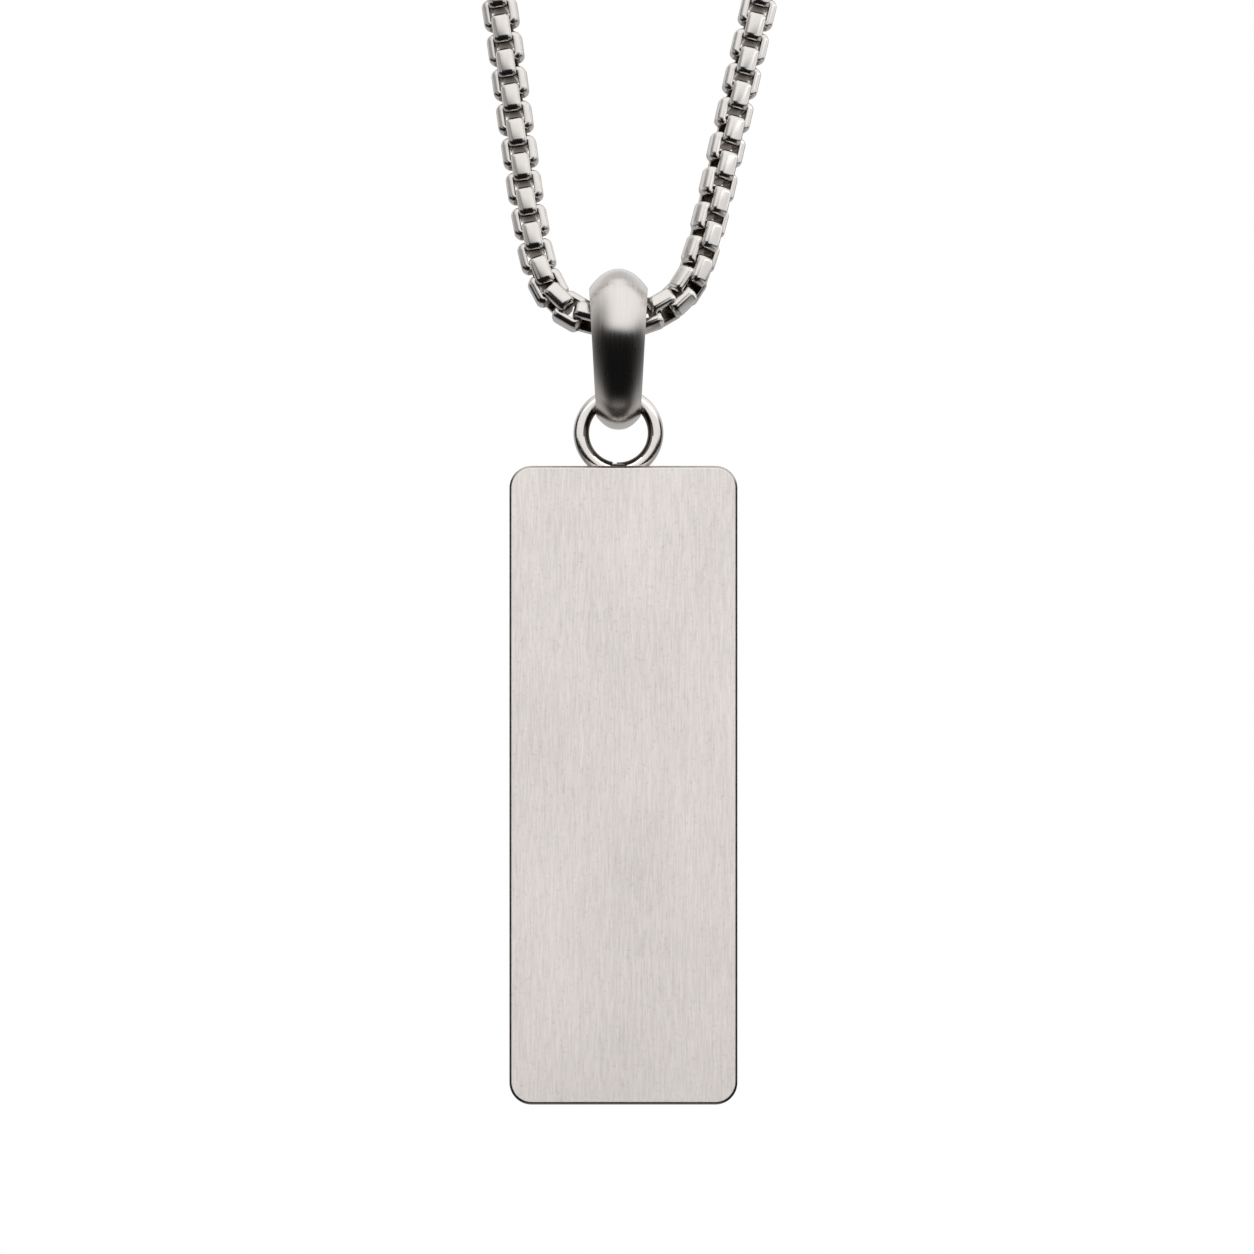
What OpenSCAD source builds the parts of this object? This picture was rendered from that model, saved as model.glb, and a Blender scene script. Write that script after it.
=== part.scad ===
// Necklace with a plain rectangular plate, a tapered bail and a round box chain

/* [Chain] */
// Outside diameter of the round box chain
chain_d = 2.5; // [2:0.1:2.6]

/* [Bail] */
// Outside diameter of the bail, seen from its side
bail_od = 11.3; // [10.8:0.1:12]
// Width of the bail at its top
bail_top_w = 4.14; // [3.6:0.02:4.2]
// Width of the bail at its bottom, where the jump ring holds it
bail_bottom_w = 3.14; // [2.6:0.02:3.16]
// Thickness of the bail at the middle of its top
bail_top_wall = 1.75; // [1.5:0.05:1.8]
// Thickness of the bail at the middle of its bottom
bail_bottom_wall = 1.15; // [1:0.05:1.2]
// Height of the domed outer face at the top
bail_top_dome = 1.4; // [1:0.05:1.4]
// Height of the domed outer face at the bottom
bail_bottom_dome = 0.95; // [0.7:0.05:0.95]
// How far the rounded inner edges reach in from the bail's sides
bail_edge = 0.3; // [0.2:0.05:0.35]

/* [Plate] */
// Width of the plate
plate_w = 16; // [12:0.5:20]
// Height of the plate
plate_h = 44.8; // [30:0.2:60]
// Thickness of the plate
plate_t = 1.8; // [1.5:0.1:3]
// Radius of the plate's rounded corners
plate_corner_r = 1.55; // [0.8:0.05:3]
// Bevel all round the plate's front and back edges
plate_bevel = 0.15; // [0.1:0.05:0.3]
// How far the plate's middle lies right of the jump ring's middle
plate_shift = 0.35; // [-0.5:0.05:0.5]

/* [Jump ring] */
// Wire diameter of the jump ring that is soldered to the plate
ring_wire_d = 1.1; // [0.9:0.05:1.15]
// Outside diameter of the jump ring
ring_od = 6.32; // [6.3:0.02:6.6]
// Height of the jump ring's centre above the plate's top edge
ring_lift = 2.32; // [2:0.02:2.5]

/* [Clasp] */
// Length of the clasp's barrel
clasp_l = 10; // [9:0.5:12]
// Diameter of the clasp's barrel
clasp_d = 4; // [3.5:0.1:4.5]
// Wire diameter of the loop at each end of the barrel
loop_wire_d = 0.6; // [0.5:0.05:0.7]
// Outside diameter of each end loop
loop_od = 3; // [2.8:0.1:3.2]

/* [Hidden] */
$fn = 64;

polished = [0.80, 0.79, 0.78];
satin = [0.66, 0.65, 0.64];
brushed = [0.84, 0.82, 0.80];

// The necklace keeps the form it has on a neck. Its origin is at the nape.
// The pendant hangs in the plane y = front_y, and the front strands lean back from it.
front_y = -132;
bail_z = -188;
clasp_y = clasp_d / 2;

// The jump ring hangs on the bail's bottom wall
ring_drop = 5.88;
ring_z = bail_z - ring_drop;
plate_top_z = ring_z - ring_lift;

// Each end loop is sunk this deep in the barrel's round end
loop_sink = 0.6;
chain_end_gap = 0.3;
chain_end_x = clasp_l / 2 + loop_od - loop_sink + chain_end_gap;

// The chain's middle line has three stretches. The first runs from the clasp's
// left end round the neck and down the chest. Columns: x, y, z.
left_side = [
    [-chain_end_x, clasp_y, 0],
    [-22, -1.2, -0.9],
    [-38.5, -10.5, -3.2],
    [-51, -26.5, -7.5],
    [-58.5, -46, -14],
    [-60.5, -65, -22],
    [-57, -80, -32],
    [-49, -90, -47],
    [-37.5, -97.5, -69],
    [-25, -105, -98]
];

// The second goes down the left front strand, through the bail and up the right
// strand, in a plane that leans back by strand_lean for each millimetre up.
// Columns: x, height above the bail's centre.
strand_lean = 0.315;
strand_low = 1.95;
front_strands = [
    [-14.6, 56],
    [-8.3, 23.7],
    [-7.1, 15],
    [-6.2, 9],
    [-5.45, 5.6],
    [-4.6, 3.8],
    [-3.1, 2.55],
    [-1.3, 2],
    [0.4, strand_low],
    [2.05, 2.35],
    [3.6, 3.15],
    [4.8, 4.4],
    [5.65, 6.4],
    [6.35, 8.9],
    [7.7, 14.7],
    [9.75, 23.7],
    [18, 56]
];

// The third runs up the chest and round the neck to the clasp's right end.
// Columns: x, y, z.
right_side = [
    [28.3, -105, -98],
    [39.5, -97.5, -69],
    [49.5, -90, -47],
    [57, -80, -32],
    [60.5, -65, -22],
    [58.5, -46, -14],
    [51, -26.5, -7.5],
    [38.5, -10.5, -3.2],
    [22, -1.2, -0.9],
    [chain_end_x, clasp_y, 0]
];
route = concat(
    left_side,
    [for (p = front_strands)
        [p[0], front_y + strand_lean * (p[1] - strand_low), bail_z + p[1]]],
    right_side);
last = len(route) - 1;

// A point inside the loop, which every section of the chain faces
hub = [0, -60, -75];
chain_sides = 8;
longest_step = 9;

function unit(v) = v / norm(v);
function span(i) = norm(route[i + 1] - route[i]);
function chord(i) = (route[i + 1] - route[i]) / span(i);
function slope(i) =
    i == 0 ? chord(0) :
    i == last ? chord(last - 1) :
    (chord(i - 1) * span(i) + chord(i) * span(i - 1)) / (span(i - 1) + span(i));

// Point and direction at a part u of the way from route point i to the next
function on_route(i, u) =
    route[i] * (2 * u * u * u - 3 * u * u + 1)
    + slope(i) * span(i) * (u * u * u - 2 * u * u + u)
    + route[i + 1] * (3 * u * u - 2 * u * u * u)
    + slope(i + 1) * span(i) * (u * u * u - u * u);
function way(i, u) = unit(
    (route[i + 1] - route[i]) * (6 * u - 6 * u * u)
    + slope(i) * span(i) * (3 * u * u - 4 * u + 1)
    + slope(i + 1) * span(i) * (3 * u * u - 2 * u));
function steps(i) = ceil(span(i) / longest_step);

// One section of the chain: a ring of points round the middle line
function section(p, t) =
    let (side = unit(cross(t, p - hub)), out = cross(side, t))
    [for (k = [0 : chain_sides - 1])
        p + chain_d / 2 * (side * cos(k * 360 / chain_sides) + out * sin(k * 360 / chain_sides))];

// Faces that join rings of n points one after the other
function band_faces(rings, n) =
    [for (i = [0 : rings - 2]) for (k = [0 : n - 1])
        [i * n + k, i * n + (k + 1) % n, (i + 1) * n + (k + 1) % n, (i + 1) * n + k]];

module chain() {
    sections = concat(
        [for (i = [0 : last - 1]) for (j = [0 : steps(i) - 1])
            section(on_route(i, j / steps(i)), way(i, j / steps(i)))],
        [section(route[last], slope(last))]);
    rings = len(sections);
    start_cap = [for (k = [chain_sides - 1 : -1 : 0]) k];
    end_cap = [for (k = [0 : chain_sides - 1]) (rings - 1) * chain_sides + k];
    color(polished)
        polyhedron(
            points = [for (ring = sections) for (p = ring) p],
            faces = concat([start_cap], band_faces(rings, chain_sides), [end_cap]));
}

// The bail is a closed ring whose hole runs left to right. Its section is
// wider, thicker and more domed at the top than at the bottom.
bail_steps = 48;
dome_steps = 10;
edge_steps = 3;

// A size that is top at the bail's top and bottom at its bottom
function blend(top, bottom, turn) = (top + bottom) / 2 + (top - bottom) / 2 * cos(turn);

// Outline of the bail's section: across its width, and out from its centre
function bail_outline(turn) =
    let (
        half = blend(bail_top_w, bail_bottom_w, turn) / 2,
        dome = blend(bail_top_dome, bail_bottom_dome, turn),
        wall = blend(bail_top_wall, bail_bottom_wall, turn),
        rim = bail_od / 2 - dome,
        flank = wall - dome)
    concat(
        [for (j = [0 : dome_steps])
            let (across = -1 + 2 * j / dome_steps)
            [half * across, bail_od / 2 - dome * across * across]],
        [for (j = [1 : edge_steps])
            let (a = 90 * j / edge_steps)
            [half - bail_edge + bail_edge * cos(a), rim - flank * sin(a)]],
        [for (j = [edge_steps : -1 : 1])
            let (a = 90 * j / edge_steps)
            [-half + bail_edge - bail_edge * cos(a), rim - flank * sin(a)]]);

module bail() {
    outline_points = dome_steps + 1 + 2 * edge_steps;
    rings = [for (s = [0 : bail_steps - 1])
        let (turn = s * 360 / bail_steps)
        [for (q = bail_outline(turn)) [q[0], q[1] * sin(turn), q[1] * cos(turn)]]];
    closing = [for (k = [0 : outline_points - 1])
        let (from = (bail_steps - 1) * outline_points, next = (k + 1) % outline_points)
        [from + k, from + next, next, k]];
    color(satin)
        translate([0, front_y, bail_z])
            polyhedron(
                points = [for (ring = rings) for (p = ring) p],
                faces = concat(band_faces(bail_steps, outline_points), closing));
}

// Cross-section of the plate of a given width, bevelled on its four edges
module bevelled(w) {
    x = w / 2;
    y = plate_t / 2;
    polygon([
        [-x + plate_bevel, -y], [x - plate_bevel, -y], [x, -y + plate_bevel],
        [x, y - plate_bevel], [x - plate_bevel, y], [-x + plate_bevel, y],
        [-x, y - plate_bevel], [-x, -y + plate_bevel]]);
}

// One rounded corner of the plate, bevelled front and back
module corner_post() {
    y = plate_t / 2;
    rotate([90, 0, 0])
        rotate_extrude()
            polygon([
                [0, -y], [plate_corner_r - plate_bevel, -y], [plate_corner_r, -y + plate_bevel],
                [plate_corner_r, y - plate_bevel], [plate_corner_r - plate_bevel, y], [0, y]]);
}

module plate() {
    straight_w = plate_w - 2 * plate_corner_r;
    straight_h = plate_h - 2 * plate_corner_r;
    translate([0, 0, -straight_h / 2])
        linear_extrude(straight_h) bevelled(plate_w);
    rotate([0, 90, 0])
        translate([0, 0, -straight_w / 2])
            linear_extrude(straight_w) bevelled(plate_h);
    for (sx = [-1, 1], sz = [-1, 1])
        translate([sx * straight_w / 2, 0, sz * straight_h / 2]) corner_post();
}

module jump_ring() {
    rotate([90, 0, 0])
        rotate_extrude()
            translate([(ring_od - ring_wire_d) / 2, 0]) circle(d = ring_wire_d);
}

// The plate and the jump ring are soldered, so they are one solid
module tag_plate() {
    color(brushed)
        translate([0, front_y, 0])
            union() {
                translate([plate_shift, 0, plate_top_z - plate_h / 2]) plate();
                translate([0, 0, ring_z]) jump_ring();
            }
}

// A plain barrel with a closed loop at each end, for the chain's end links
module clasp() {
    straight_l = clasp_l - clasp_d;
    color(polished)
        translate([0, clasp_y, 0])
            union() {
                rotate([0, 90, 0]) cylinder(d = clasp_d, h = straight_l, center = true);
                for (side = [-1, 1]) {
                    translate([side * straight_l / 2, 0, 0]) sphere(d = clasp_d);
                    translate([side * (clasp_l / 2 + loop_od / 2 - loop_sink), 0, 0])
                        rotate([90, 0, 0])
                            rotate_extrude()
                                translate([(loop_od - loop_wire_d) / 2, 0]) circle(d = loop_wire_d);
                }
            }
}

chain();
bail();
tag_plate();
clasp();
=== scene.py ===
"""Looks of a steel necklace: box chain links, satin bail, brushed plate, and its studio."""

import math

import bpy
from mathutils import Matrix, Vector


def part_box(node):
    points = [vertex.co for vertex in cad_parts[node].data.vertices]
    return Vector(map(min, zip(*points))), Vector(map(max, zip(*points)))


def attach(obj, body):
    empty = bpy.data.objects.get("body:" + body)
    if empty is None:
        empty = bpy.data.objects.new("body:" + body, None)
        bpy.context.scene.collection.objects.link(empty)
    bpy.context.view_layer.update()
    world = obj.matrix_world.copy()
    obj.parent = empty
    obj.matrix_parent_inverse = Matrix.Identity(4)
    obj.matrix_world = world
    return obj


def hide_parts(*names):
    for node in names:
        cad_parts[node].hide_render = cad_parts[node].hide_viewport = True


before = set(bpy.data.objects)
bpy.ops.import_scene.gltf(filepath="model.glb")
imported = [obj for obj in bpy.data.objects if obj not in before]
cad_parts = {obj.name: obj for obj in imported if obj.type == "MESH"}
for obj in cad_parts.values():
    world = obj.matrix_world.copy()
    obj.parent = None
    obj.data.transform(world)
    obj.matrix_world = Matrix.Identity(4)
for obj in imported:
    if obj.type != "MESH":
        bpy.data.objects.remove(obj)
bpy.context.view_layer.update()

MM = 0.001

# Places and sizes read from the frame
bail_low, bail_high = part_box("bail")
bail_centre = (bail_low + bail_high) / 2
bail_r = (bail_high.z - bail_low.z) / 2
tag_low, tag_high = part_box("tag_plate")
front_y = bail_centre.y

# Bail, in metres
bail_top_w = 4.14 * MM
bail_bottom_w = 3.14 * MM
bail_top_wall = 1.75 * MM
bail_bottom_wall = 1.15 * MM
bail_top_dome = 1.4 * MM
bail_bottom_dome = 0.95 * MM
bail_edge = 0.3 * MM
bail_rim_round = 0.06 * MM
# 2 makes the dome an even curve, and more makes it flatter in the middle
bail_top_power = 2
bail_bottom_power = 2.4

# Plate
plate_h = 44.8 * MM
plate_top = tag_low.z + plate_h
plate_corner_r = 1.55 * MM
plate_bevel = 0.15 * MM
plate_edge_round = 0.035 * MM
# A narrow border round each face, which keeps the shading inside it flat
plate_border = 0.02 * MM

# Jump ring
ring_wire_r = 0.55 * MM
ring_outer_r = 3.16 * MM
ring_r = ring_outer_r - ring_wire_r
ring_centre = Vector((0, front_y, tag_high.z - ring_outer_r))
# How directly a part of the wire must face the ring's middle to get its painted shade, in the
# ring's upper half and at its foot
ring_shade_facing = 0.3
ring_shade_foot = 0.5

# Chain link: its size across the chain and along it, without the wire's dome. The wire is flat
# inside and domed outside, and thinner and flatter at the link's two ends, which lie inside its
# neighbours.
link_across = 2.0 * MM
link_along = 1.92 * MM
wire_w = 1.28 * MM
wire_t = 0.32 * MM
end_wire_t = 0.3 * MM
wire_dome = 0.25 * MM
end_wire_dome = 0.14 * MM
# 2 makes the dome an ellipse, and more makes it flatter in the middle
dome_power = 2.4
link_corner = 0.42 * MM
inner_round = 0.05 * MM
# How far before a bend the line lies that keeps the wire straight
bend_line = 0.04 * MM
# How directly a face must look along the chain to be on a link's end, which gets painted shade
end_facing = 0.93
# Steps in each bend, and the places of the lines along the dome, as angles from its middle: for the
# links that show close up, and for the plain ones behind
close_steps = 8
close_lines = range(-66, 67, 22)
plain_steps = 2
plain_lines = (-35, 35)

# The chain's middle line in millimetres, the same points as in the CAD source
FRONT = front_y / MM
BAIL_Z = bail_centre.z / MM
END_X = 7.7
STRAND_LEAN = 0.315
STRAND_LOW = 1.95
LEFT_SIDE = [
    (-END_X, 2, 0), (-22, -1.2, -0.9), (-38.5, -10.5, -3.2), (-51, -26.5, -7.5), (-58.5, -46, -14),
    (-60.5, -65, -22), (-57, -80, -32), (-49, -90, -47), (-37.5, -97.5, -69), (-25, -105, -98),
]
FRONT_STRANDS = [
    (-14.6, 56), (-8.3, 23.7), (-7.1, 15), (-6.2, 9), (-5.45, 5.6), (-4.6, 3.8), (-3.1, 2.55),
    (-1.3, 2), (0.4, STRAND_LOW), (2.05, 2.35), (3.6, 3.15), (4.8, 4.4), (5.65, 6.4), (6.35, 8.9),
    (7.7, 14.7), (9.75, 23.7), (18, 56),
]
RIGHT_SIDE = [
    (28.3, -105, -98), (39.5, -97.5, -69), (49.5, -90, -47), (57, -80, -32), (60.5, -65, -22),
    (58.5, -46, -14), (51, -26.5, -7.5), (38.5, -10.5, -3.2), (22, -1.2, -0.9), (END_X, 2, 0),
]
ROUTE = [
    *LEFT_SIDE,
    *((x, FRONT + STRAND_LEAN * (up - STRAND_LOW), BAIL_Z + up) for x, up in FRONT_STRANDS),
    *RIGHT_SIDE,
]


# Materials

# Noise lies between about these two values
NOISE_SPAN = {"From Min": 0.3, "From Max": 0.7}
SOFT_STEP = {"interpolation_type": "SMOOTHSTEP"}
# Places of a Mix node's two colours among its inputs, and of their mixture among its outputs
COLOUR_A = 6
COLOUR_B = 7
COLOUR_OUT = 2


def colour(code):
    """Turns an sRGB hex colour into linear red, green, blue and alpha"""
    def linear(part):
        value = int(part, 16) / 255
        return value / 12.92 if value <= 0.04045 else ((value + 0.055) / 1.055) ** 2.4
    return (*(linear(code[i:i + 2]) for i in (1, 3, 5)), 1)


def add(tree, kind, inputs=None, **settings):
    """Adds a node with its settings, and sets its inputs or links them to a node or a socket"""
    node = tree.nodes.new("ShaderNode" + kind)
    for name, value in settings.items():
        setattr(node, name, value)
    for name, value in (inputs or {}).items():
        if isinstance(value, bpy.types.Node):
            value = value.outputs[0]
        if isinstance(value, bpy.types.NodeSocket):
            tree.links.new(value, node.inputs[name])
        else:
            node.inputs[name].default_value = value
    return node


def new_material(name):
    """A material and its node tree, which is empty"""
    material = bpy.data.materials.new(name)
    material.use_nodes = True
    material.node_tree.nodes.clear()
    return material, material.node_tree


def grain(tree, vector, per_mm, detail, seed=0.0):
    """A pattern whose grains along X, Y and Z are given as counts in a millimetre"""
    place = add(tree, "Mapping", {"Vector": vector, "Scale": [count / MM for count in per_mm],
                                  "Location": (seed, seed, seed)})
    return add(tree, "TexNoise", {"Vector": place, "Scale": 1.0, "Detail": detail,
                                  "Roughness": 0.6})


def brushed_stainless_plate():
    # 316 stainless sheet, drawn lengthways over a fine belt: a pale satin face of hair lines
    # that spreads reflections sideways and keeps them short up and down.
    material, tree = new_material("brushed_stainless_plate")
    place = add(tree, "TexCoord").outputs["Object"]
    # The finest hair lines are drawn about twice as coarse as real ones, so that they show
    hair = grain(tree, place, (9, 0.5, 0.7), detail=4)
    streak = grain(tree, place, (2.6, 0.5, 0.045), detail=2, seed=7)
    patch = grain(tree, place, (0.16, 0.2, 0.09), detail=1, seed=3)
    stray = grain(tree, place, (4.5, 0.5, 4), detail=3, seed=11)
    lines = add(tree, "Mix", {"Factor": 0.15, "A": hair, "B": streak})
    lines_and_patches = add(tree, "Mix", {"Factor": 0.2, "A": lines, "B": patch})
    shade = add(tree, "MapRange", {"Value": lines_and_patches, **NOISE_SPAN,
                                   "To Min": 0.1, "To Max": 1.05})
    scratch = add(tree, "MapRange", {"Value": stray, "From Min": 0.54, "From Max": 0.72,
                                     "To Max": 0.3}, **SOFT_STEP)
    shade = add(tree, "Math", {0: shade, 1: scratch}, operation="SUBTRACT")
    tone = add(tree, "Mix", {"Factor": shade, COLOUR_A: colour("#cfc9c4"),
                             COLOUR_B: colour("#f7f0ec")}, data_type="RGBA")
    shader = add(tree, "BsdfPrincipled", {
        "Base Color": tone.outputs[COLOUR_OUT],
        "Metallic": 1.0,
        "Roughness": add(tree, "MapRange", {"Value": lines, **NOISE_SPAN,
                                            "To Min": 0.30, "To Max": 0.38}),
        "Anisotropic": 0.8,
        "Tangent": add(tree, "Tangent", direction_type="RADIAL", axis="Z"),
        "Normal": add(tree, "Bump", {"Height": lines, "Strength": 0.12, "Distance": 0.02 * MM}),
    })
    add(tree, "OutputMaterial", {"Surface": shader})
    return material


def satin_steel_bail():
    # 316 stainless casting, brushed round its hoop with a soft wheel: a dark satin gloss whose
    # fine lines run round the bail and spread reflections across its width.
    material, tree = new_material("satin_steel_bail")
    place = add(tree, "TexCoord").outputs["Object"]
    centred = add(tree, "VectorMath", {0: place, 1: tuple(bail_centre)}, operation="SUBTRACT")
    parts = add(tree, "SeparateXYZ", {0: centred})
    turn = add(tree, "Math", {0: parts.outputs["Z"], 1: parts.outputs["Y"]}, operation="ARCTAN2")
    round_way = add(tree, "Math", {0: turn, 1: bail_r}, operation="MULTIPLY")
    unrolled = add(tree, "CombineXYZ", {"X": parts.outputs["X"], "Y": round_way})
    hair = grain(tree, unrolled, (13, 0.35, 1), detail=3)
    streak = grain(tree, unrolled, (3, 0.12, 1), detail=2, seed=5)
    lines = add(tree, "Mix", {"Factor": 0.4, "A": hair, "B": streak})
    shade = add(tree, "MapRange", {"Value": lines, **NOISE_SPAN})
    tone = add(tree, "Mix", {"Factor": shade, COLOUR_A: colour("#dad6d3"),
                             COLOUR_B: colour("#e9e5e2")}, data_type="RGBA")
    shader = add(tree, "BsdfPrincipled", {
        "Base Color": tone.outputs[COLOUR_OUT],
        "Metallic": 1.0,
        "Roughness": add(tree, "MapRange", {"Value": lines, **NOISE_SPAN,
                                            "To Min": 0.23, "To Max": 0.35}),
        "Anisotropic": 0.9,
        "Anisotropic Rotation": 0.25,
        "Tangent": add(tree, "Tangent", direction_type="RADIAL", axis="X"),
        "Normal": add(tree, "Bump", {"Height": lines, "Strength": 0.1, "Distance": 0.02 * MM}),
    })
    add(tree, "OutputMaterial", {"Surface": shader})
    return material


def polished_steel(name, dark, light, smooth, rough):
    # 316 stainless strip and wire, tumbled bright: a clear gloss broken by faint scuffs
    material, tree = new_material(name)
    place = add(tree, "TexCoord").outputs["Object"]
    scuff = grain(tree, place, (1.5, 1.5, 1.5), detail=3)
    dent = grain(tree, place, (0.8, 0.8, 0.8), detail=1, seed=4)
    shade = add(tree, "MapRange", {"Value": scuff, **NOISE_SPAN})
    tone = add(tree, "Mix", {"Factor": shade, COLOUR_A: colour(dark), COLOUR_B: colour(light)},
               data_type="RGBA")
    shader = add(tree, "BsdfPrincipled", {
        "Base Color": tone.outputs[COLOUR_OUT],
        "Metallic": 1.0,
        "Roughness": add(tree, "MapRange", {"Value": scuff, **NOISE_SPAN,
                                            "To Min": smooth, "To Max": rough}),
        "Normal": add(tree, "Bump", {"Height": dent, "Strength": 0.03, "Distance": 0.02 * MM}),
    })
    add(tree, "OutputMaterial", {"Surface": shader})
    return material


def shade_painted_steel(name, per_mm, dark, light, smooth, rough):
    """Stainless steel in a darker colour that paints shade, under an even, rougher skin"""
    material, tree = new_material(name)
    place = add(tree, "TexCoord").outputs["Object"]
    skin = grain(tree, place, per_mm, detail=3)
    shade = add(tree, "MapRange", {"Value": skin, **NOISE_SPAN})
    tone = add(tree, "Mix", {"Factor": shade, COLOUR_A: colour(dark), COLOUR_B: colour(light)},
               data_type="RGBA")
    shader = add(tree, "BsdfPrincipled", {
        "Base Color": tone.outputs[COLOUR_OUT],
        "Metallic": 1.0,
        "Roughness": add(tree, "MapRange", {"Value": skin, **NOISE_SPAN,
                                            "To Min": smooth, "To Max": rough}),
    })
    add(tree, "OutputMaterial", {"Surface": shader})
    return material


def painted_shade_ring_steel():
    # 316 stainless wire on the inner side of the jump ring, in a darker brown that paints the shade
    # along the ring's inside: dark and soft beside the bright outside.
    return shade_painted_steel("painted_shade_inside_ring", (2.5, 2.5, 2.5), "#5c534d", "#756b63",
                      0.22, 0.3)


def rough_skin_and_painted_shade_steel():
    # 316 stainless strip inside the links and on their ends: a rougher skin in a darker grey that
    # paints the shade in the chain's recesses, keeping its inside dark between its bright faces.
    return shade_painted_steel("rough_skin_and_painted_shade_inside_links", (6, 6, 6), "#857b72", "#9b9188", 0.25, 0.35)


def white_board():
    # Matt white studio board, pressed from paper fibre: even and without gloss
    material, tree = new_material("white_studio_board")
    place = add(tree, "TexCoord").outputs["Object"]
    fibre = grain(tree, place, (0.5, 0.5, 0.5), detail=3)
    tone = add(tree, "Mix", {"Factor": fibre, COLOUR_A: colour("#f4f4f3"),
                             COLOUR_B: colour("#fafaf9")}, data_type="RGBA")
    shader = add(tree, "BsdfDiffuse", {"Color": tone.outputs[COLOUR_OUT]})
    add(tree, "OutputMaterial", {"Surface": shader})
    return material


# Modelling helpers

# Places closer than this count as the same, in metres
SAME_PLACE = 1e-6
# How directly a face must look along an axis to count as facing that way
SQUARE_ON = 0.9


def start(name):
    """Names the primitive that was just added, and opens it in edit mode with nothing selected"""
    piece = bpy.context.object
    piece.name = piece.data.name = name
    bpy.ops.object.mode_set(mode="EDIT")
    bpy.ops.mesh.select_mode(type="VERT")
    bpy.ops.mesh.select_all(action="DESELECT")
    return piece


def clear_selection():
    """Leaves edit mode with nothing selected, before a new primitive is added"""
    if bpy.context.object and bpy.context.object.mode == "EDIT":
        bpy.ops.object.mode_set(mode="OBJECT")
    bpy.ops.object.select_all(action="DESELECT")


def pick(kind, test):
    """Selects, in edit mode, the vertices, edges or faces that pass a test"""
    bpy.ops.mesh.select_mode(type=kind)
    bpy.ops.mesh.select_all(action="DESELECT")
    bpy.ops.object.mode_set(mode="OBJECT")
    mesh = bpy.context.object.data
    members = {"VERT": mesh.vertices, "EDGE": mesh.edges, "FACE": mesh.polygons}[kind]
    for member in members:
        member.select = test(mesh, member)
    bpy.ops.object.mode_set(mode="EDIT")


def ends(mesh, edge):
    """The two end points of an edge"""
    return [mesh.vertices[i].co for i in edge.vertices]


def near(value, goal):
    return abs(value - goal) < SAME_PLACE


def finish_piece(piece, *materials, angle):
    """Merges doubles, turns normals outwards, and sets place, materials and smoothing angle"""
    bpy.ops.object.mode_set(mode="EDIT")
    bpy.ops.mesh.select_all(action="SELECT")
    bpy.ops.mesh.remove_doubles(threshold=1e-7)
    bpy.ops.mesh.normals_make_consistent(inside=False)
    bpy.ops.object.mode_set(mode="OBJECT")
    bpy.ops.object.transform_apply(location=True, rotation=True, scale=True)
    bpy.ops.object.shade_smooth_by_angle(angle=math.radians(angle))
    piece.data.materials.clear()
    for material in materials:
        piece.data.materials.append(material)
    return piece


def apply_modifier(piece, kind, **settings):
    modifier = piece.modifiers.new(kind.lower(), kind)
    for name, value in settings.items():
        setattr(modifier, name, value)
    bpy.ops.object.modifier_apply(modifier=modifier.name)


# The chain

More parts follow.
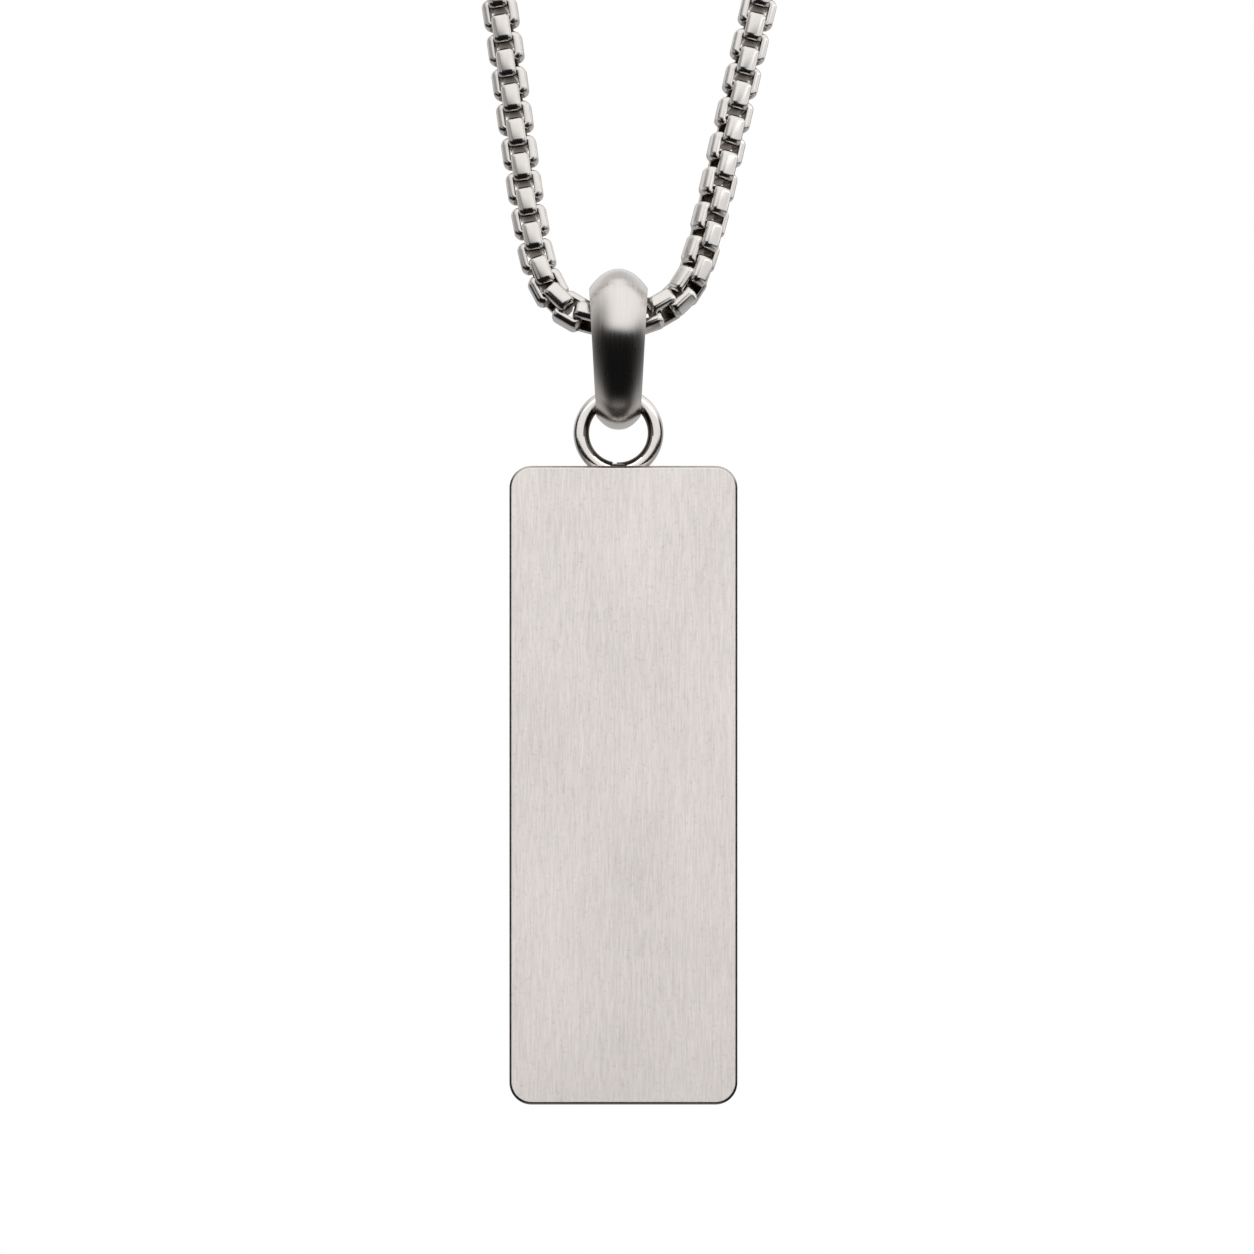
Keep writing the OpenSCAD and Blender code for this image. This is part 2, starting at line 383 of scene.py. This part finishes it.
def model_link(name, corner_steps, line_angles, outside, inside):
    """One link about its own centre: X is across the chain, Y is the wire's width, Z is along it"""
    half_x, half_y, half_z = link_across / 2, wire_w / 2, link_along / 2
    hole_x, hole_z = half_x - wire_t, half_z - end_wire_t
    clear_selection()
    bpy.ops.mesh.primitive_cube_add(size=1, scale=(2 * half_x, 2 * half_y, 2 * half_z))
    bpy.ops.object.transform_apply(location=False, rotation=False, scale=True)
    link = start(name)

    # Bends of the wire, then the hole, as long as two neighbours need and as wide as their wire
    pick("EDGE", lambda mesh, edge: not near(*(end.y for end in ends(mesh, edge))))
    bpy.ops.mesh.bevel(offset=link_corner, segments=corner_steps)
    pick("FACE", lambda mesh, face: abs(face.normal.y) > SQUARE_ON)
    bpy.ops.mesh.inset(thickness=end_wire_t)
    bpy.ops.transform.resize(value=(hole_x / (half_x - end_wire_t), 1, 1),
                             center_override=(0, 0, 0))
    bpy.ops.mesh.bridge_edge_loops()

    def in_hole(point):
        return abs(point.x) < hole_x + SAME_PLACE and abs(point.z) < hole_z + SAME_PLACE

    def on_inner_rim(mesh, edge):
        a, b = ends(mesh, edge)
        return near(abs(a.y), half_y) and near(a.y, b.y) and in_hole(a) and in_hole(b)
    if corner_steps > plain_steps:
        # Lines where the straight wire meets its bends, so that the bends start crisply
        for place, axis in ((half_x, (1, 0, 0)), (half_z, (0, 0, 1))):
            for hand in (-1, 1):
                line = Vector(axis) * hand * (place - link_corner - bend_line)
                bpy.ops.mesh.select_all(action="SELECT")
                bpy.ops.mesh.bisect(plane_co=line, plane_no=axis)
        pick("EDGE", on_inner_rim)
        bpy.ops.mesh.bevel(offset=inner_round, segments=2)

    # Lines along the wire's outer face, then each raised on to the dome
    turns = [math.radians(angle) for angle in line_angles]
    for turn in turns:
        bpy.ops.mesh.select_all(action="SELECT")
        bpy.ops.mesh.bisect(plane_co=(0, half_y * math.sin(turn), 0), plane_no=(0, 1, 0))
    for turn in turns:
        pick("VERT", lambda mesh, vertex: near(vertex.co.y, half_y * math.sin(turn))
             and not in_hole(vertex.co))
        part = (1 - abs(math.sin(turn)) ** dome_power) ** (1 / dome_power)
        rise, end_rise = wire_dome * part, end_wire_dome * part
        bpy.ops.transform.resize(value=(1 + rise / half_x, 1, 1 + end_rise / half_z),
                                 center_override=(0, 0, 0))
    finish_piece(link, outside, inside, angle=50)

    # The hole's walls with most of their rounded edges, and the link's ends, which lie inside its
    # neighbours: a rougher skin whose darker colour paints the shade there
    rim = 0.8 * inner_round

    def rough_and_shaded(mesh, face):
        in_wall = abs(face.center.x) < hole_x + rim and abs(face.center.z) < hole_z + rim
        return in_wall or abs(face.normal.z) > end_facing
    bpy.ops.object.mode_set(mode="EDIT")
    pick("FACE", rough_and_shaded)
    link.active_material_index = 1
    bpy.ops.object.material_slot_assign()
    bpy.ops.object.mode_set(mode="OBJECT")
    return link


class ChainLine:
    """The chain's middle line, with its direction and a side that doesn't twist about it"""
    steps_a_span = 40

    def __init__(self):
        points = [Vector(p) * MM for p in ROUTE]
        last = len(points) - 1
        span = [(points[i + 1] - points[i]).length for i in range(last)]
        chord = [(points[i + 1] - points[i]) / span[i] for i in range(last)]
        slope = [chord[0]]
        for i in range(1, last):
            both = span[i - 1] + span[i]
            slope.append((chord[i - 1] * span[i] + chord[i] * span[i - 1]) / both)
        slope.append(chord[-1])
        self.points = []
        for i in range(last):
            for j in range(self.steps_a_span):
                u = j / self.steps_a_span
                self.points.append(
                    points[i] * (2 * u ** 3 - 3 * u ** 2 + 1)
                    + slope[i] * span[i] * (u ** 3 - 2 * u ** 2 + u)
                    + points[i + 1] * (3 * u ** 2 - 2 * u ** 3)
                    + slope[i + 1] * span[i] * (u ** 3 - u ** 2))
        self.points.append(points[-1])
        # A short straight lead at each end carries the last link into the clasp's loop
        lead = 1.5 * MM
        self.points.insert(0, points[0] + Vector((lead, 0, 0)))
        self.points.append(points[-1] - Vector((lead, 0, 0)))
        self.along = [0.0]
        for a, b in zip(self.points, self.points[1:]):
            self.along.append(self.along[-1] + (b - a).length)
        count = len(self.points)
        self.ways = [(self.points[min(k + 1, count - 1)] - self.points[max(k - 1, 0)]).normalized()
                     for k in range(count)]
        # The front side at the strands' lowest point, carried up both strands from there
        self.sides = [None] * count
        middle = min(range(count), key=lambda k: self.points[k].z + abs(self.points[k].x) / 10)
        self.sides[middle] = Vector((0, -1, STRAND_LEAN)).normalized()
        for k in range(middle + 1, count):
            self.sides[k] = self.carried(self.sides[k - 1], self.ways[k])
        for k in range(middle - 1, -1, -1):
            self.sides[k] = self.carried(self.sides[k + 1], self.ways[k])

    @staticmethod
    def carried(side, way):
        return (side - way * side.dot(way)).normalized()

    def at(self, length):
        """Point, direction and side at a length along the line"""
        low, high = 0, len(self.along) - 1
        while high - low > 1:
            mid = (low + high) // 2
            if self.along[mid] <= length:
                low = mid
            else:
                high = mid
        part = (length - self.along[low]) / (self.along[high] - self.along[low])
        point = self.points[low].lerp(self.points[high], part)
        way = self.ways[low].lerp(self.ways[high], part).normalized()
        return point, way, self.carried(self.sides[low].lerp(self.sides[high], part), way)

    def at_height(self, hand, up):
        """The length along the left (-1) or right (1) strand at a height above the bail's centre"""
        strand = [k for k, p in enumerate(self.points) if p.x * hand > 0]
        k = min(strand, key=lambda k: abs(self.points[k].z - bail_centre.z - up))
        return self.along[k]


# Links are counted from one whose broad face looks at the viewer, on the left strand above the
# bail. RIGHT_LINK is one that does so on the right strand.
LEFT_LINK_UP = 5.33 * MM
RIGHT_LINK = 11
RIGHT_LINK_UP = 5.7 * MM
PITCH = 1.30 * MM
# How far the links are turned about the chain, in degrees. Each odd link is turned 90 degrees more.
# Columns: link, turn.
TURNS = [(-14, -9), (-12, -11), (-10, -8), (-8, -6), (-6, -5), (-2, -4), (0, -3), (2, 5), (4, 13),
         (6, 19), (8, 27), (9, 36), (10, 39), (11, 48), (13, 52), (15, 54), (17, 63), (19, 68),
         (21, 76), (23, 78), (25, 82)]
# How far links near the bail have slid from even spacing, in millimetres. Columns: link, slide.
SLIDES = [(0, 0), (2, -0.26), (4, -0.28), (6, -0.12), (8, 0.05), (10, -0.07), (11, -0.18),
          (14, -0.18), (16, -0.1), (20, 0)]
# The links that show close up in front, on each strand as far as the bail's middle
LEFT_FRONT = range(-22, 6)
RIGHT_FRONT = range(6, 34)


def read_off(table, index):
    """The value at an index, by straight lines between the rows of a table"""
    if index <= table[0][0]:
        return table[0][1]
    for (a, value_a), (b, value_b) in zip(table, table[1:]):
        if index <= b:
            return value_a + (value_b - value_a) * (index - a) / (b - a)
    return table[-1][1]


def nearest_turn(line, length, index, known):
    """The turn, near a known one, at which a link lies flat in the clasp's loop"""
    way, side = line.at(length)[1:]
    other = side.cross(way)
    goal = Vector((0, 1, 0))
    turn = math.degrees(math.atan2(goal.dot(other), goal.dot(side)))
    turn -= 90 * (index % 2)
    return turn + 180 * round((known - turn) / 180)


def place_links(outside, inside):
    """Copies of the link all along the chain's line, joined into three pieces"""
    line = ChainLine()
    left = line.at_height(-1, LEFT_LINK_UP)
    right = line.at_height(1, RIGHT_LINK_UP)
    # How far the middle of the last link at each end lies from the line's end
    end_inset = 1.0 * MM
    begin, finish = end_inset, line.along[-1] - end_inset
    first = -round((left - begin) / PITCH)
    last = RIGHT_LINK + round((finish - right) / PITCH)
    first_turn = nearest_turn(line, begin, first, TURNS[0][1])
    last_turn = nearest_turn(line, finish, last, TURNS[-1][1])
    turns = [(first, first_turn), *TURNS, (last, last_turn)]
    close_link = model_link("close_link", close_steps, close_lines, outside, inside)
    plain_link = model_link("plain_link", plain_steps, plain_lines, outside, inside)
    placed = {"left_front_links": [], "right_front_links": [], "strand_links": []}
    for index in range(first, last + 1):
        if index <= 0:
            length = left + (left - begin) * index / -first
        elif index <= RIGHT_LINK:
            length = left + (right - left) * index / RIGHT_LINK
        else:
            length = right + (finish - right) * (index - RIGHT_LINK) / (last - RIGHT_LINK)
        point, way, side = line.at(length + read_off(SLIDES, index) * MM)
        turn = math.radians(read_off(turns, index) + 90 * (index % 2))
        face_way = side * math.cos(turn) + side.cross(way) * math.sin(turn)
        width_way = way.cross(face_way)
        group = "strand_links"
        if index in LEFT_FRONT:
            group = "left_front_links"
        if index in RIGHT_FRONT:
            group = "right_front_links"
        model = plain_link if group == "strand_links" else close_link
        link = bpy.data.objects.new("link", model.data.copy())
        bpy.context.scene.collection.objects.link(link)
        axes = Matrix((face_way, width_way, way)).transposed().to_4x4()
        link.data.transform(Matrix.Translation(point) @ axes)
        placed[group].append(link)
    bpy.data.objects.remove(close_link)
    bpy.data.objects.remove(plain_link)
    joined = []
    for name, links in placed.items():
        clear_selection()
        for link in links:
            link.select_set(True)
        bpy.context.view_layer.objects.active = links[0]
        bpy.ops.object.join()
        links[0].name = links[0].data.name = name
        joined.append(links[0])
    return joined


# The bail

def model_bail(material):
    """A hoop of circles: over the domed outside, round the side's edge and back along the inside"""
    steps = 128
    dome_steps = 16
    edge_steps = 5
    half = (bail_top_w + bail_bottom_w) / 4
    # Each size's mean round the hoop, and how far it goes above and below that
    wall, wall_sway = (bail_top_wall + bail_bottom_wall) / 2, (bail_top_wall - bail_bottom_wall) / 2
    dome, dome_sway = (bail_top_dome + bail_bottom_dome) / 2, (bail_top_dome - bail_bottom_dome) / 2
    # Each circle: place across the bail, radius, and how far its centre lies above the bail's
    circles = []
    for j in range(dome_steps + 1):
        across = 2 * j / dome_steps - 1
        top_fall = bail_top_dome * abs(across) ** bail_top_power
        bottom_fall = bail_bottom_dome * abs(across) ** bail_bottom_power
        circles.append((half * across, bail_r - (top_fall + bottom_fall) / 2,
                        (bottom_fall - top_fall) / 2))
    for j in range(1, edge_steps + 1):
        a = math.pi / 2 * j / edge_steps
        rise = -dome_sway - (wall_sway - dome_sway) * math.sin(a)
        circles.append((half - bail_edge * (1 - math.cos(a)),
                        bail_r - dome - (wall - dome) * math.sin(a), rise))
    circles += [(-x, r, rise) for x, r, rise in reversed(circles[dome_steps + 1:])]
    clear_selection()
    x, r, rise = circles[0]
    bpy.ops.mesh.primitive_circle_add(vertices=steps, radius=r, rotation=(0, math.pi / 2, 0),
                                      location=(x, 0, rise))
    bpy.ops.object.transform_apply()
    bail = start("bail_hoop")
    bpy.ops.mesh.select_all(action="SELECT")
    for next_x, next_r, next_rise in circles[1:]:
        bpy.ops.mesh.extrude_region_move(
            TRANSFORM_OT_translate={"value": (next_x - x, 0, next_rise - rise)})
        bpy.ops.transform.resize(value=(1, next_r / r, next_r / r),
                                 center_override=(next_x, 0, next_rise))
        x, r, rise = next_x, next_r, next_rise
    bpy.ops.mesh.select_all(action="DESELECT")
    bpy.ops.mesh.select_non_manifold()
    bpy.ops.mesh.bridge_edge_loops()
    bpy.ops.object.mode_set(mode="OBJECT")
    # Wider at the top than at the bottom, where it was measured at the rims
    top_rim, bottom_rim = bail_r - bail_top_dome, bail_r - bail_bottom_dome
    gain = (bail_top_w - bail_bottom_w) / 2 / (top_rim + bottom_rim)
    widest = bail_top_w / 2 - gain * top_rim
    bpy.ops.transform.resize(value=(widest / half, 1, 1))
    bpy.ops.object.transform_apply()
    apply_modifier(bail, "SIMPLE_DEFORM", deform_method="TAPER", deform_axis="Z", lock_y=True,
                   factor=gain / widest * 2 * bail_r)
    apply_modifier(bail, "BEVEL", width=bail_rim_round, segments=3, limit_method="ANGLE",
                   angle_limit=math.radians(28))
    bail.location = bail_centre
    return finish_piece(bail, material, angle=60)


# The plate, its jump ring and the solder between them

def model_plate(face_steel, shaded_edge_steel):
    """The plate: a slab with rounded corners, chamfered round its front and its back"""
    width, thick = tag_high.x - tag_low.x, tag_high.y - tag_low.y
    side_t = thick - 2 * plate_bevel
    # How directly a face looks forwards or back where it is flat, and at most on the plate's edges
    flat_on = 0.999
    edge_on = 0.95
    clear_selection()
    bpy.ops.mesh.primitive_cube_add(size=1, scale=(width, side_t, plate_h),
                                    location=((tag_low.x + tag_high.x) / 2, front_y,
                                              tag_low.z + plate_h / 2))
    bpy.ops.object.transform_apply()
    plate = start("brushed_plate")

    def across(mesh, edge):
        a, b = ends(mesh, edge)
        return not near(a.y, b.y)
    pick("EDGE", across)
    bpy.ops.mesh.bevel(offset=plate_corner_r, segments=14)
    # The chamfer round the front and the back, then its softened edges
    pick("FACE", lambda mesh, face: abs(face.normal.y) > SQUARE_ON)
    bpy.ops.mesh.inset(thickness=plate_bevel)
    bpy.ops.transform.resize(value=(1, thick / side_t, 1), center_override=(0, front_y, 0))
    bpy.ops.object.mode_set(mode="OBJECT")
    apply_modifier(plate, "BEVEL", width=plate_edge_round, segments=3, limit_method="ANGLE",
                   angle_limit=math.radians(30))
    bpy.ops.object.mode_set(mode="EDIT")
    pick("FACE", lambda mesh, face: abs(face.normal.y) > flat_on)
    bpy.ops.mesh.inset(thickness=plate_border)
    finish_piece(plate, face_steel, shaded_edge_steel, angle=35)
    # The chamfers and sides take ground steel in a darker colour, which paints shade on the plate's
    # edges
    bpy.ops.object.mode_set(mode="EDIT")
    pick("FACE", lambda mesh, face: abs(face.normal.y) < edge_on)
    plate.active_material_index = 1
    bpy.ops.object.material_slot_assign()
    bpy.ops.object.mode_set(mode="OBJECT")
    return plate


def bend_wire(name, wire_r, from_angle, sweep, steps, outside, inside):
    """Round wire bent about the ring's centre, its angles counted from the ring's lowest point"""
    wire_sides = 48
    end_round = 0.05 * MM
    clear_selection()
    bpy.ops.mesh.primitive_circle_add(
        vertices=wire_sides, radius=wire_r, rotation=(0, math.pi / 2, 0),
        location=ring_centre - Vector((0, 0, ring_r)))
    bpy.ops.object.transform_apply()
    wire = start(name)
    bpy.ops.mesh.select_all(action="SELECT")
    bpy.ops.transform.rotate(value=-from_angle, orient_axis="Y", center_override=ring_centre)
    bpy.ops.mesh.spin(steps=steps, angle=sweep, center=ring_centre, axis=(0, 1, 0))
    bpy.ops.mesh.select_all(action="DESELECT")
    bpy.ops.mesh.select_non_manifold()
    bpy.ops.mesh.fill_holes(sides=0)
    bpy.ops.object.mode_set(mode="OBJECT")
    apply_modifier(wire, "BEVEL", width=end_round, segments=2, limit_method="ANGLE",
                   angle_limit=math.radians(60))
    finish_piece(wire, outside, inside, angle=50)

    # The inner side, which gets the painted shade
    def faces_in(mesh, face):
        inwards = ((ring_centre - face.center) * Vector((1, 0, 1))).normalized()
        least = ring_shade_facing + (ring_shade_foot - ring_shade_facing) * max(inwards.z, 0)
        return face.normal.dot(inwards) > least
    bpy.ops.object.mode_set(mode="EDIT")
    pick("FACE", faces_in)
    wire.active_material_index = 1
    bpy.ops.object.material_slot_assign()
    bpy.ops.object.mode_set(mode="OBJECT")
    return wire


def model_ring(outside, inside):
    """The jump ring, and the solder that fills the slit between its two ends"""
    slit = math.radians(7)
    ring_steps = 120
    # The plug is a little thinner than the wire, and reaches into both its ends
    plug_r = ring_wire_r - 0.05 * MM
    overlap = math.radians(2)
    plug_steps = 4
    ring = bend_wire("jump_ring", ring_wire_r, slit / 2, math.tau - slit, ring_steps,
                     outside, inside)
    plug = bend_wire("solder_plug", plug_r, -slit / 2 - overlap, slit + 2 * overlap, plug_steps,
                     outside, inside)
    return [ring, plug]


def model_solder(material):
    """The low saddle of solder between the ring's foot and the plate's top edge"""
    length, depth, height = 3.9 * MM, 1.25 * MM, 0.34 * MM
    top_length, top_depth = 0.82, 0.62
    rounding = 0.12 * MM
    clear_selection()
    bpy.ops.mesh.primitive_cube_add(size=1, scale=(length, depth, height),
                                    location=(ring_centre.x, front_y, plate_top))
    bpy.ops.object.transform_apply()
    solder = start("solder_seam")
    pick("FACE", lambda mesh, face: face.normal.z > SQUARE_ON)
    bpy.ops.transform.resize(value=(top_length, top_depth, 1),
                             center_override=(ring_centre.x, front_y, 0))
    bpy.ops.object.mode_set(mode="OBJECT")
    apply_modifier(solder, "BEVEL", width=rounding, segments=4)
    return finish_piece(solder, material, angle=60)


# Studio

def aim(thing, target):
    """Turns a light so that it shines at a point"""
    thing.rotation_euler = (Vector(target) - thing.location).to_track_quat("-Z", "Y").to_euler()


def panel(name, place, target, width, height, brightness):
    """A soft panel light of even brightness"""
    light = bpy.data.lights.new(name, "AREA")
    light.shape = "RECTANGLE"
    light.size, light.size_y = width, height
    light.energy = brightness * width * height * math.pi
    thing = bpy.data.objects.new(name, light)
    bpy.context.scene.collection.objects.link(thing)
    thing.location = place
    thing.visible_camera = False
    aim(thing, target)
    return thing


def shine_only_on(light, name, pieces):
    """Links a light to the pieces that it lights"""
    lit = bpy.data.collections.new(name)
    for piece in pieces:
        lit.objects.link(piece)
    light.light_linking.receiver_collection = lit


def make_world():
    """A white backdrop for the eye, and a studio with dark sides for the steel to mirror"""
    world = bpy.data.worlds.new("studio")
    bpy.context.scene.world = world
    world.use_nodes = True
    tree = world.node_tree
    tree.nodes.clear()
    way = add(tree, "SeparateXYZ", {0: add(tree, "TexCoord").outputs["Generated"]})
    side, depth, height = (way.outputs[axis] for axis in "XYZ")

    # The ceiling light starts about 25 degrees up in front, and lower at its two ends, most of all
    # on the right. It brightens in two overlapping steps, is weaker towards the left, and ends 30
    # degrees behind the point overhead.
    ends_lower, right_lower = 0.1, 0.04
    squared = add(tree, "Math", {0: side, 1: side}, operation="MULTIPLY")
    edge = add(tree, "Math", {0: side, 1: right_lower, 2: height}, operation="MULTIPLY_ADD")
    edge = add(tree, "Math", {0: squared, 1: ends_lower, 2: edge}, operation="MULTIPLY_ADD")
    start_part = add(tree, "MapRange", {"Value": edge, "From Min": 0.37, "From Max": 0.52,
                                        "To Max": 0.7}, **SOFT_STEP)
    full_part = add(tree, "MapRange", {"Value": edge, "From Min": 0.42, "From Max": 0.62,
                                       "To Max": 0.38}, **SOFT_STEP)
    sideways = add(tree, "MapRange", {"Value": side, "From Min": -1.0, "From Max": -0.38,
                                      "To Min": 0.25}, **SOFT_STEP)
    back_end = add(tree, "MapRange", {"Value": depth, "From Min": 0.50, "From Max": 0.58,
                                      "To Min": 1.0, "To Max": 0.0})
    ceiling = add(tree, "Math", {0: start_part, 1: full_part}, operation="ADD")
    ceiling = add(tree, "Math", {0: ceiling, 1: sideways}, operation="MULTIPLY")
    ceiling = add(tree, "Math", {0: ceiling, 1: back_end}, operation="MULTIPLY")

    # The white wall behind is brightest 20 degrees up. Low down, it comes further forward at the
    # sides, most of all on the left.
    sides_forward, left_forward = 0.18, 0.1
    low_part = add(tree, "MapRange", {"Value": height, "From Min": 0.0, "From Max": 0.35,
                                      "To Min": 0.5, "To Max": 0.86}, **SOFT_STEP)
    high_loss = add(tree, "MapRange", {"Value": height, "From Min": 0.35, "From Max": 0.6,
                                       "To Max": 0.24}, **SOFT_STEP)
    wall_tone = add(tree, "Math", {0: low_part, 1: high_loss}, operation="SUBTRACT")
    down = add(tree, "Math", {0: height, 1: -1.0}, operation="MULTIPLY")
    reach = add(tree, "Math", {0: side, 1: -left_forward}, operation="MULTIPLY")
    reach = add(tree, "Math", {0: squared, 1: sides_forward, 2: reach}, operation="MULTIPLY_ADD")
    forward = add(tree, "Math", {0: reach, 1: down, 2: depth}, operation="MULTIPLY_ADD")
    wall = add(tree, "MapRange", {"Value": forward, "From Min": 0.15, "From Max": 0.54},
               **SOFT_STEP)
    wall = add(tree, "Math", {0: wall, 1: wall_tone}, operation="MULTIPLY")

    # The pale table below, from a little in front of the necklace backwards
    table = add(tree, "MapRange", {"Value": down, "From Min": 0.86, "From Max": 1.0,
                                   "To Max": 0.25}, **SOFT_STEP)
    table_front = add(tree, "MapRange", {"Value": depth, "From Min": -0.36, "From Max": 0.15},
                      **SOFT_STEP)
    table = add(tree, "Math", {0: table, 1: table_front}, operation="MULTIPLY")

    # The brightest of them, and a faint light from everywhere else
    faint = 0.008
    faintly_warm = (1, 0.99, 0.98, 1)
    white = (1, 1, 1, 1)
    lit = add(tree, "Math", {0: ceiling, 1: wall}, operation="MAXIMUM")
    lit = add(tree, "Math", {0: lit, 1: table}, operation="MAXIMUM")
    lit = add(tree, "Math", {0: lit, 1: faint}, operation="ADD")
    mirrored = add(tree, "Background", {"Color": faintly_warm, "Strength": lit})
    seen = add(tree, "Background", {"Color": white, "Strength": 1.0})
    for_the_eye = add(tree, "LightPath").outputs["Is Camera Ray"]
    mix = add(tree, "MixShader", {0: for_the_eye, 1: mirrored, 2: seen})
    add(tree, "OutputWorld", {"Surface": mix})


def make_floor():
    """A round studio board below the plate, under the middle of the loop"""
    radius = 0.3
    loop_middle_y = -0.066
    board_z = -0.29
    clear_selection()
    bpy.ops.mesh.primitive_circle_add(vertices=96, radius=radius, fill_type="NGON",
                                      location=(0, loop_middle_y, board_z))
    floor = bpy.context.object
    floor.name = "studio_floor"
    floor.data.materials.append(white_board())
    floor.visible_glossy = False


def make_camera():
    """Level with the upper part of the plate, straight in front of it"""
    picture_w = 88 * MM
    right, down = 0.6 * MM, 19.5 * MM
    centre = Vector((right, front_y, bail_centre.z - down))
    distance = 1.5
    data = bpy.data.cameras.new("camera")
    data.sensor_width = 36
    data.lens = data.sensor_width * distance / picture_w
    data.clip_start = 0.01
    camera = bpy.data.objects.new("camera", data)
    camera.location = centre - Vector((0, distance, 0))
    camera.rotation_euler = (math.pi / 2, 0, 0)
    bpy.context.scene.collection.objects.link(camera)
    bpy.context.scene.camera = camera
    bpy.context.scene.view_settings.view_transform = "Standard"


def make_panels(pendant, left_links, right_links):
    """One panel in front of the pendant, and others beside and below the links in front"""
    ahead, above = 0.45, 0.295
    level = bail_centre.z + above
    front = panel("front_panel", (0, front_y - ahead, level), (0, front_y, level),
                  width=3.0, height=0.8, brightness=1.0)
    shine_only_on(front, "lit_from_the_front", pendant)

    # Columns: name, lit links, how far right of the bail, behind it and above it, width, height,
    # brightness
    both = [left_links, right_links]
    for name, lit, right, back, up, width, height, brightness in (
            ("side_panel", [left_links], 0.54, -0.08, 0.13, 1.0, 0.26, 0.6),
            ("side_panel", [left_links], -0.54, -0.08, 0.13, 1.0, 0.26, 0.4),
            ("side_panel", [right_links], 0.54, -0.19, 0.12, 1.6, 0.4, 0.86),
            ("side_panel", [right_links], -0.54, -0.08, 0.07, 1.0, 0.32, 0.4),
            ("table_panel", both, 0.42, -0.02, -0.28, 0.5, 0.3, 0.3),
            ("table_panel", [left_links], -0.3, 0.02, -0.48, 0.4, 0.62, 0.26),
            ("table_panel", [right_links], 0.3, 0.02, -0.48, 0.4, 0.62, 0.22)):
        place = (right, front_y + back, bail_centre.z + up)
        light = panel(name, place, bail_centre, width, height, brightness)
        shine_only_on(light, "lit_by_" + name, lit)


# The scene

make_camera()
make_world()
make_floor()

link_steel = polished_steel("polished_steel_links", "#dfdbd8", "#e6e3e0", 0.17, 0.22)
# Darker, rougher steel that paints the shade inside the links and on their ends
shaded_inner_steel = rough_skin_and_painted_shade_steel()
ring_steel = polished_steel("polished_steel_wire", "#dedad7", "#e8e5e2", 0.17, 0.22)
# Ground steel for the plate's chamfers and sides, in a darker colour that paints shade on its edges
shaded_edge_steel = polished_steel("ground_steel_edges_painted_shade", "#b2aba6", "#c0b9b4", 0.2, 0.26)
# Darker brown steel that paints shade on the jump ring's inner side
ring_shade_steel = painted_shade_ring_steel()
plate_steel = brushed_stainless_plate()
bail_steel = satin_steel_bail()

links = place_links(link_steel, shaded_inner_steel)
for piece in links:
    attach(piece, "chain")
    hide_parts("chain")

bail = model_bail(bail_steel)
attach(bail, "bail")
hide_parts("bail")

pendant = [model_plate(plate_steel, shaded_edge_steel), *model_ring(ring_steel, ring_shade_steel),
           model_solder(ring_steel)]
for piece in pendant:
    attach(piece, "plate")
    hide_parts("tag_plate")

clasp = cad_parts["clasp"]
clasp.data.materials.clear()
clasp.data.materials.append(ring_steel)

make_panels(pendant, left_links=links[0], right_links=links[1])
